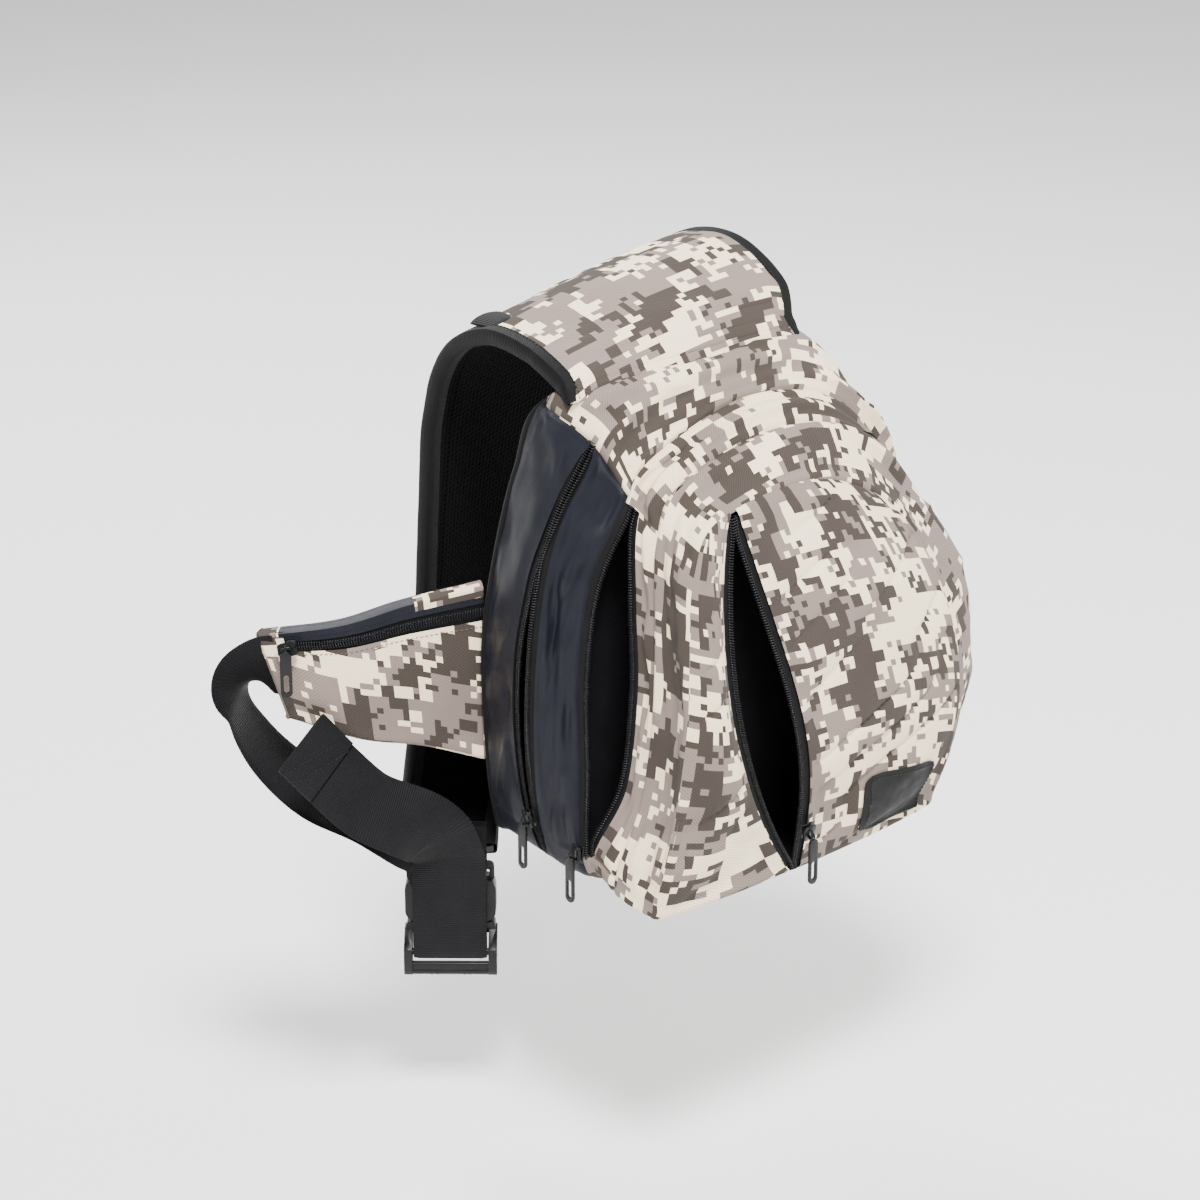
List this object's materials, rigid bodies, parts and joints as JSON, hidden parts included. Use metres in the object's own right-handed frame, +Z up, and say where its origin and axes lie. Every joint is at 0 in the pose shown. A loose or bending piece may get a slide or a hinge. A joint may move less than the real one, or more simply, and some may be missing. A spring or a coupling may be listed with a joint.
{
  "type": "sling tackle backpack",
  "caption": "Camouflage sling tackle backpack with open side and front zip pockets, one wide padded shoulder strap, a hip wing and a side-release buckle.",
  "frame": {"origin": "shoulder seat: the point under the middle of the strap's arch, where the bag hangs from a shoulder", "axes": "+X to the right seen from the front of the bag, +Y from the front pocket towards the wearer, +Z up as worn"},
  "size_m": [0.4375, 0.3216, 0.4756],
  "materials": {
    "camo_fabric": "digital camouflage print on twill-weave polyester, matt",
    "black_nylon": "black nylon ripstop, slight sheen",
    "air_mesh": "black open air mesh, matt",
    "foam": "soft closed-cell foam",
    "lining": "black coated lining, matt",
    "webbing": "ribbed black polyester webbing",
    "zip_chain": "black nylon coil on woven tape",
    "black_metal": "black painted zinc, satin",
    "black_plastic": "black moulded acetal, satin",
    "label_patch": "plain dark patch, no marks"
  },
  "bodies": {
    "bag": {"main_wrap": "camo_fabric", "middle_gusset_wrap": "camo_fabric", "strap_shell": "camo_fabric", "wing_pocket_panel": "camo_fabric", "rear_side_panel": "black_nylon", "side_band": "black_nylon", "wing_top_band": "black_nylon", "back_mesh_cover": "air_mesh", "strap_lining": "air_mesh", "wing_back_lining": "air_mesh", "back_foam": "foam", "strap_foam": "foam", "wing_foam": "foam", "back_lining": "lining", "main_divider": "lining", "belt_webbing": "webbing", "strap_end_webbing": "webbing", "strap_binding_left": "webbing", "strap_binding_right": "webbing", "strap_side_tab": "webbing", "main_zip_rear_half": "zip_chain", "main_zip_front_half": "zip_chain", "middle_zip_rear_half": "zip_chain", "wing_zip_lower_half": "zip_chain", "wing_zip_upper_half": "zip_chain", "buckle_housing": "black_plastic"},
    "front_section": {"middle_gusset_side": "camo_fabric", "front_gusset": "camo_fabric", "front_face_right": "camo_fabric", "front_face_left": "camo_fabric", "middle_divider": "lining", "middle_zip_front_half": "zip_chain", "front_zip_right_half": "zip_chain", "front_zip_left_half": "zip_chain", "label_patch": "label_patch"},
    "main_slider": {"main_zip_slider": "black_metal"},
    "main_pull": {"main_zip_pull": "black_metal"},
    "middle_slider": {"middle_zip_slider": "black_metal"},
    "middle_pull": {"middle_zip_pull": "black_metal"},
    "front_slider": {"front_zip_slider": "black_metal"},
    "front_pull": {"front_zip_pull": "black_metal"},
    "wing_slider": {"wing_zip_slider": "black_metal"},
    "wing_pull": {"wing_zip_pull": "black_metal"},
    "buckle_tongue": {"buckle_tongue": "black_plastic"},
    "prong_left": {"buckle_prong_left": "black_plastic"},
    "prong_right": {"buckle_prong_right": "black_plastic"}
  },
  "joints": [
    {"name": "front_section_open", "type": "hinge", "parent": "bag", "child": "front_section", "pos_m": [0.161, -0.117, -0.226], "axis": [0, 0, 1], "range_deg": [-4, 8], "deforming": ["middle_gusset_side", "middle_gusset_wrap", "middle_zip_front_half"]},
    {"name": "main_slider_travel", "type": "hinge", "parent": "bag", "child": "main_slider", "pos_m": [0.16707, -0.10567, -0.2379], "axis": [0.1246, 0.9922, 0.01], "range_deg": [0, 28.9]},
    {"name": "middle_slider_travel", "type": "hinge", "parent": "bag", "child": "middle_slider", "pos_m": [1.43475, -0.61163, -0.37612], "axis": [0.3035, 0.9522, -0.0357], "range_deg": [0, 6.1]},
    {"name": "front_slider_travel", "type": "hinge", "parent": "front_section", "child": "front_slider", "pos_m": [0.01718, 0.06293, -0.22937], "axis": [-0.9664, 0.1568, -0.2036], "range_deg": [0, 41.8]},
    {"name": "wing_slider_travel", "type": "hinge", "parent": "bag", "child": "wing_slider", "pos_m": [0.00649, 0.24142, -0.31415], "axis": [0.0933, 0.3944, 0.9142], "range_deg": [0, 22]},
    {"name": "main_pull_swing", "type": "hinge", "parent": "main_slider", "child": "main_pull", "pos_m": [-0.13559, -0.06685, -0.31734], "axis": [0, 1, 0], "range_deg": [-3, 150]},
    {"name": "middle_pull_swing", "type": "hinge", "parent": "middle_slider", "child": "middle_pull", "pos_m": [-0.13355, -0.10989, -0.32684], "axis": [0, 1, 0], "range_deg": [-3, 150]},
    {"name": "front_pull_swing", "type": "hinge", "parent": "front_slider", "child": "front_pull", "pos_m": [-0.00543, -0.19897, -0.32379], "axis": [-1, 0, 0], "range_deg": [-3, 150]},
    {"name": "wing_pull_swing", "type": "hinge", "parent": "wing_slider", "child": "wing_pull", "pos_m": [-0.22345, 0.06192, -0.21327], "axis": [-0.8, 0.6, 0], "range_deg": [-3, 150]},
    {"name": "buckle_release", "type": "slide", "parent": "bag", "child": "buckle_tongue", "axis": [0, 0, -1], "range_m": [0, 0.04], "deforming": ["belt_webbing"]},
    {"name": "prong_left_flex", "type": "hinge", "parent": "buckle_tongue", "child": "prong_left", "pos_m": [-0.13607, 0.03788, -0.4228], "axis": [0.6822, 0.7312, 0], "range_deg": [0, 4], "stiffness_Nm_per_rad": 0.5},
    {"name": "prong_right_flex", "type": "hinge", "parent": "buckle_tongue", "child": "prong_right", "pos_m": [-0.10653, 0.01032, -0.4228], "axis": [-0.6822, -0.7312, 0], "range_deg": [0, 4], "stiffness_Nm_per_rad": 0.5}
  ],
  "couplings": [
    {"joint": "prong_right_flex", "follows": "prong_left_flex", "ratio": 1}
  ]
}
